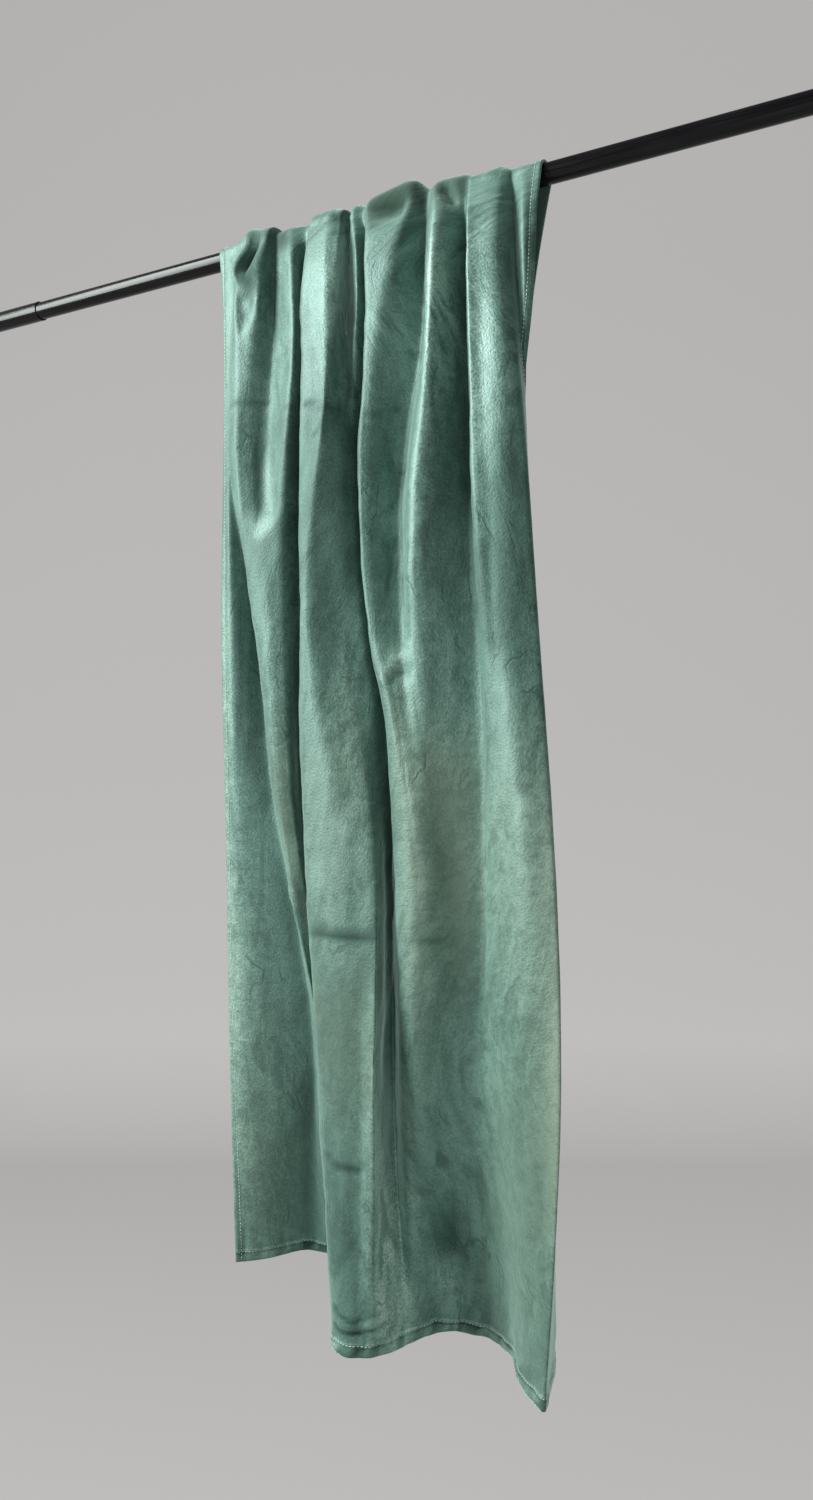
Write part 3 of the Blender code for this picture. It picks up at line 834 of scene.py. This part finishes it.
# How much each mark of the pile shows in its tone: the nap where no olive adds to it, and the tufts where the
# cloth is plain and where a patch lightens it most
CLOUDS_SHARE = 0.52
STREAKS_SHARE = 0.35
NAP_SHARE = 0.32
TUFTS_SHARE = 0.28
BRIGHT_TUFTS_SHARE = 0.4375
# The hairlines' share is painted shade in their pressed creases
HAIRLINE_SHARE = 0.18

# The least light that the painted light and shade of a patch leaves, and how much faster its red and its blue
# change than its green
LEAST_LIGHT = 0.25
RED_POWER = 1.35
BLUE_POWER = 1.08

# How rough the pile is by its nap, how much rougher it gets towards the hem and between which heights in
# metres, how much a patch takes off or adds as it lightens or darkens, and how rough the back is
PILE_ROUGHNESS = (0.46, 0.60)
ROUGHER_AT_HEM = 0.10
ROUGHER_BETWEEN = (0.2, 1.3)
GLOSS_OF_PATCH = 0.10
DULLNESS_OF_DARK_PATCH = 0.35
BACK_ROUGHNESS = 0.85

Pile = namedtuple("Pile", "clouds streaks nap tufts smudge hairline")


def velvet_marks(tree):
    """The marks of the pile, from broad clouds to single tufts, with smudges and pressed hairlines."""
    place = linked(tree, "ShaderNodeCombineXYZ",
                   {"X": attribute(tree, "across"), "Y": attribute(tree, "up")}).outputs[0]
    tall = stretched(tree, place, (1.0, 0.42, 1.0))
    brushed = stretched(tree, place, (1.0, 0.12, 1.0))
    clouds = noise(tree, tall, scale=13.0, detail=7.0, roughness=0.66, distortion=1.4)
    streaks = noise(tree, brushed, scale=42.0, detail=5.0, roughness=0.62, distortion=0.8)
    nap = noise(tree, place, scale=85.0, detail=6.0, roughness=0.75, distortion=0.6)
    tufts = noise(tree, place, scale=340.0, detail=2.0)
    blots = noise(tree, tall, scale=26.0, detail=4.0, roughness=0.6, distortion=1.0)
    smudge = ranged(tree, blots, (0.56, 0.72), (0.0, 0.16))
    wander = noise(tree, tall, scale=16.0, detail=3.0, roughness=0.55, distortion=0.9)
    off_line = math_node(tree, "ABSOLUTE", math_node(tree, "SUBTRACT", wander, 0.5), 0.0)
    on_line = ranged(tree, off_line, (0.004, 0.022), (1.0, 0.0))
    seldom = ranged(tree, noise(tree, place, scale=14.0, detail=2.0), (0.54, 0.66), (0.0, 1.0))
    hairline = math_node(tree, "MULTIPLY", on_line, seldom)
    return Pile(clouds, streaks, nap, tufts, smudge, hairline)


def velvet_colour(tree, pile, shade):
    """The pile's tone by its marks, turned olive, its painted light and shade from the patches, and its back.
    """
    olive = attribute(tree, "olive")
    crushed = math_node(tree, "ADD", olive, NAP_SHARE)
    speckle = ranged(tree, shade, (0.0, 1.0), (TUFTS_SHARE, BRIGHT_TUFTS_SHARE))
    tone = 0.5
    for mark, share in ((pile.clouds, CLOUDS_SHARE), (pile.streaks, STREAKS_SHARE),
                        (pile.nap, crushed), (pile.tufts, speckle)):
        away = math_node(tree, "SUBTRACT", mark, 0.5)
        tone = math_node(tree, "ADD", math_node(tree, "MULTIPLY", away, share), tone)
    tone = math_node(tree, "SUBTRACT", tone, pile.smudge)
    # The pressed hairlines darken the tone as painted shade in their creases
    tone = math_node(tree, "SUBTRACT", tone, math_node(tree, "MULTIPLY", pile.hairline, HAIRLINE_SHARE))
    turned = math_node(tree, "MULTIPLY", olive, math_node(tree, "ADD", pile.clouds, pile.nap))
    woven = mixed(tree, turned, ramp_of(tree, tone, *PILE_TONES), OLIVE)
    # Painted light and shade: the patches, creases and hem bands lighten or darken the colour, red most, blue
    # least
    light = math_node(tree, "MAXIMUM", math_node(tree, "ADD", shade, 1.0), LEAST_LIGHT)
    red = math_node(tree, "POWER", light, RED_POWER)
    blue = math_node(tree, "POWER", light, BLUE_POWER)
    lit = linked(tree, "ShaderNodeCombineXYZ", {"X": red, "Y": light, "Z": blue}).outputs[0]
    woven = mixed(tree, 1.0, woven, lit, "MULTIPLY")
    return mixed(tree, attribute(tree, "back_skin"), woven, ramp_of(tree, pile.tufts, *BACK_TONES))


def velvet_roughness(tree, pile, shade):
    """Rougher towards the hem, where patches darken it and on its back, glossier where they lighten it."""
    rough = ranged(tree, pile.nap, (0.3, 0.7), PILE_ROUGHNESS)
    low = ranged(tree, attribute(tree, "up"), ROUGHER_BETWEEN, (ROUGHER_AT_HEM, 0.0))
    rough = math_node(tree, "ADD", rough, low)
    rough = math_node(tree, "SUBTRACT", rough, math_node(tree, "MULTIPLY", shade, GLOSS_OF_PATCH))
    dark = math_node(tree, "MINIMUM", shade, 0.0)
    rough = math_node(tree, "SUBTRACT", rough, math_node(tree, "MULTIPLY", dark, DULLNESS_OF_DARK_PATCH))
    back = math_node(tree, "MULTIPLY", attribute(tree, "back_skin"), BACK_ROUGHNESS)
    return math_node(tree, "MAXIMUM", rough, back)


def velvet_normal(tree, pile):
    """The marks as low relief, each over the coarser one."""
    normal = bump(tree, pile.clouds, strength=0.24, distance=0.008)
    normal = bump(tree, pile.nap, strength=0.22, distance=0.0012, under=normal)
    normal = bump(tree, pile.tufts, strength=0.8, distance=0.0008, under=normal)
    return bump(tree, pile.hairline, strength=0.35, distance=0.0012, under=normal, invert=True)


def velvet():
    """Velvet pile: its nap brushed into clouds, streaks and crushed speckle over the woven colour."""
    made, tree, shader = new_material("velvet")
    pile = velvet_marks(tree)
    shade = attribute(tree, "shade")
    tree.links.new(velvet_colour(tree, pile, shade), shader.inputs["Base Color"])
    tree.links.new(velvet_roughness(tree, pile, shade), shader.inputs["Roughness"])
    tree.links.new(velvet_normal(tree, pile), shader.inputs["Normal"])
    shader.inputs["Specular IOR Level"].default_value = 0.9
    shader.inputs["Specular Tint"].default_value = GLOSS_TINT
    shader.inputs["Sheen Weight"].default_value = 0.7
    shader.inputs["Sheen Roughness"].default_value = 0.40
    shader.inputs["Sheen Tint"].default_value = SHEEN_TINT
    return made


THREAD_TONES = ((0.35, (0.30, 0.42, 0.30)), (0.65, (0.55, 0.68, 0.50)))


def thread():
    """Spun sewing thread, paler than the velvet."""
    made, tree, shader = new_material("sewing_thread")
    ply = noise(tree, object_place(tree), scale=900.0, detail=2.0)
    tree.links.new(ramp_of(tree, ply, *THREAD_TONES), shader.inputs["Base Color"])
    tree.links.new(ranged(tree, ply, (0.0, 1.0), (0.55, 0.8)), shader.inputs["Roughness"])
    tree.links.new(bump(tree, ply, strength=0.4, distance=0.0003), shader.inputs["Normal"])
    shader.inputs["Sheen Weight"].default_value = 0.4
    return made


# Steel: its black paint whole and scuffed, the noise up to which it is whole, and the noise from which each
# tube's is all scuffed

BLACK_PAINT = (0.003, 0.0025, 0.0035)
SCUFFED_PAINT = (0.008, 0.007, 0.009)
PAINT_TINT = (0.88, 1.0, 0.92, 1)
WHOLE_UP_TO = 0.45
TUBE_SCUFFED_AT = 0.72
SLEEVE_SCUFFED_AT = 0.66


def steel(name, scuffed_at):
    """Black paint on drawn tube: gloss with a little peel, and faint scuffs along it."""
    made, tree, shader = new_material(name)
    place = object_place(tree)
    scuffs = noise(tree, stretched(tree, place, (0.04, 1.0, 1.0)), scale=420.0, detail=4.0)
    peel = noise(tree, place, scale=300.0, detail=2.0)
    tone = ramp_of(tree, scuffs, (WHOLE_UP_TO, BLACK_PAINT), (scuffed_at, SCUFFED_PAINT))
    tree.links.new(tone, shader.inputs["Base Color"])
    tree.links.new(ranged(tree, scuffs, (0.35, 0.7), (0.21, 0.24)), shader.inputs["Roughness"])
    tree.links.new(bump(tree, peel, strength=0.0008, distance=0.0003), shader.inputs["Normal"])
    shader.inputs["Specular IOR Level"].default_value = 0.22
    shader.inputs["Specular Tint"].default_value = PAINT_TINT
    return made


def paint(node, finish):
    """The CAD node keeps its shape and takes this finish."""
    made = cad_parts[node]
    for material_slot in made.material_slots:
        material_slot.material = finish


# The camera, in metres and degrees

CAMERA_PLACE = (0.753, -1.254, -0.701)
CAMERA_TURN = 29.217
CAMERA_UP = 0.944
CAMERA_LENS = 27.6
CAMERA_FILM = 36.0

# The stage: a floor and a wall, square to the camera, with a row of points at each station along them. Its
# tones follow a number, the sweep, which has these values at the foot and the top of the bend between floor
# and wall, and would be 1 at SWEEP_RISE above the bend.
FLOOR_HEIGHT = -2.1
WALL_AWAY = 3.1
BEND_RADIUS = 0.5
BEND_STEPS = 17
FLOOR_STATIONS = (-6.0, 0.0, 0.8, 1.6)
WALL_STATIONS = (1.0, 2.0, 3.5, 6.0)
STAGE_HALF_WIDTH = 7.0
SWEEP_AT_FOOT = 0.4
SWEEP_AT_TOP = 0.6
SWEEP_RISE = 3.0
# The stage's tones are painted light and shade: lighter just above the bend, darker on the floor before it
STAGE_TONES = (
    (0.12, (0.490, 0.480, 0.472)),
    (0.35, (0.435, 0.425, 0.418)),
    (0.42, (0.425, 0.415, 0.408)),
    (0.57, (0.525, 0.515, 0.505)),
    (0.74, (0.488, 0.478, 0.468)),
    (1.00, (0.465, 0.455, 0.448)),
)
STAGE_BOUNCE = (0.15, 0.15, 0.15, 1)
STAGE_GLOW = 0.90

# The lights: where each is, what it points at, its two sides in metres and its power in watts
Light = namedtuple("Light", "name place target size power")
LIGHTS = (
    Light("key", (-1.75, -1.6, 0.68), (0.0, 0.0, -0.2), (1.0, 2.3), 168),
    Light("fill", (1.5, -2.1, -1.4), (0.0, 0.0, -0.9), (1.4, 1.4), 20),
)
ROOM_COLOUR = (1.0, 0.99, 0.98, 1)
ROOM_STRENGTH = 0.18


def build_camera():
    data = bpy.data.cameras.new("camera")
    data.lens = CAMERA_LENS
    data.sensor_fit = "VERTICAL"
    data.sensor_height = CAMERA_FILM
    made = bpy.data.objects.new("camera", data)
    made.location = CAMERA_PLACE
    made.rotation_euler = (math.radians(90 + CAMERA_UP), 0, math.radians(CAMERA_TURN))
    bpy.context.collection.objects.link(made)
    bpy.context.scene.camera = made


def stage_profile():
    """From behind the camera to the wall's top: how far beyond the rod, how high, and the sweep there."""
    flat = WALL_AWAY - BEND_RADIUS
    profile = [(away, 0.0, SWEEP_AT_FOOT * max(away, 0) / flat) for away in FLOOR_STATIONS]
    for angle in np.linspace(0, math.pi / 2, BEND_STEPS):
        away = flat + BEND_RADIUS * math.sin(angle)
        height = BEND_RADIUS - BEND_RADIUS * math.cos(angle)
        sweep = SWEEP_AT_FOOT + (SWEEP_AT_TOP - SWEEP_AT_FOOT) * angle / (math.pi / 2)
        profile.append((away, height, sweep))
    for height in WALL_STATIONS:
        sweep = SWEEP_AT_TOP + (1 - SWEEP_AT_TOP) * (height - BEND_RADIUS) / SWEEP_RISE
        profile.append((WALL_AWAY, height, sweep))
    return profile


def pale_backdrop():
    """Pale paint, softly clouded, glowing with painted light and shade, so that hardly a shadow shows on it.
    """
    finish, tree, shader = new_material("pale_backdrop")
    cloudy = noise(tree, object_place(tree), scale=1.3, detail=3.0)
    height = math_node(tree, "ADD", attribute(tree, "sweep"), math_node(tree, "MULTIPLY", cloudy, 0.03))
    tone = ramp_of(tree, height, *STAGE_TONES)
    tree.links.new(tone, shader.inputs["Emission Color"])
    tree.links.new(mixed(tree, 1.0, tone, STAGE_BOUNCE, "MULTIPLY"), shader.inputs["Base Color"])
    shader.inputs["Emission Strength"].default_value = STAGE_GLOW
    shader.inputs["Roughness"].default_value = 0.9
    shader.inputs["Specular IOR Level"].default_value = 0.0
    return finish


def build_stage():
    """A pale floor that sweeps up softly into a pale wall, square to the camera."""
    turn = math.radians(CAMERA_TURN)
    ahead = np.array([-math.sin(turn), math.cos(turn)])
    aside = np.array([math.cos(turn), math.sin(turn)])
    points = []
    sweeps = []
    for away, height, sweep in stage_profile():
        for reach in (-STAGE_HALF_WIDTH, STAGE_HALF_WIDTH):
            x, y = ahead * away + aside * reach
            points.append((x, y, FLOOR_HEIGHT + height))
            sweeps.append(sweep)
    faces = [(i, i + 1, i + 3, i + 2) for i in range(0, len(points) - 2, 2)]
    mesh = bpy.data.meshes.new("backdrop")
    mesh.from_pydata(points, [], faces)
    set_numbers(mesh, "sweep", sweeps)
    mesh.shade_smooth()
    mesh.materials.append(pale_backdrop())
    made = bpy.data.objects.new("backdrop", mesh)
    bpy.context.collection.objects.link(made)


def build_light(light):
    """A soft rectangle of light, turned to its target with its second side upright."""
    data = bpy.data.lights.new(light.name, "AREA")
    data.shape = "RECTANGLE"
    data.size, data.size_y = light.size
    data.energy = light.power
    made = bpy.data.objects.new(light.name, data)
    made.location = light.place
    way = np.array(light.target) - np.array(light.place)
    turn = math.atan2(way[1], way[0]) - math.pi / 2
    tip = math.atan2(math.hypot(way[0], way[1]), -way[2])
    made.rotation_euler = (tip, 0, turn)
    bpy.context.collection.objects.link(made)


def build_room():
    """The lights, a faint light from all round, and plain colours in the picture."""
    world = bpy.data.worlds.new("soft_room")
    world.use_nodes = True
    background = world.node_tree.nodes["Background"]
    background.inputs["Color"].default_value = ROOM_COLOUR
    background.inputs["Strength"].default_value = ROOM_STRENGTH
    bpy.context.scene.world = world
    for light in LIGHTS:
        build_light(light)
    bpy.context.scene.view_settings.view_transform = "Standard"


build_cloth(velvet(), thread())
paint("rod_tube", steel("black_steel", TUBE_SCUFFED_AT))
paint("rod_sleeve", steel("black_steel_sleeve", SLEEVE_SCUFFED_AT))
build_camera()
build_stage()
build_room()
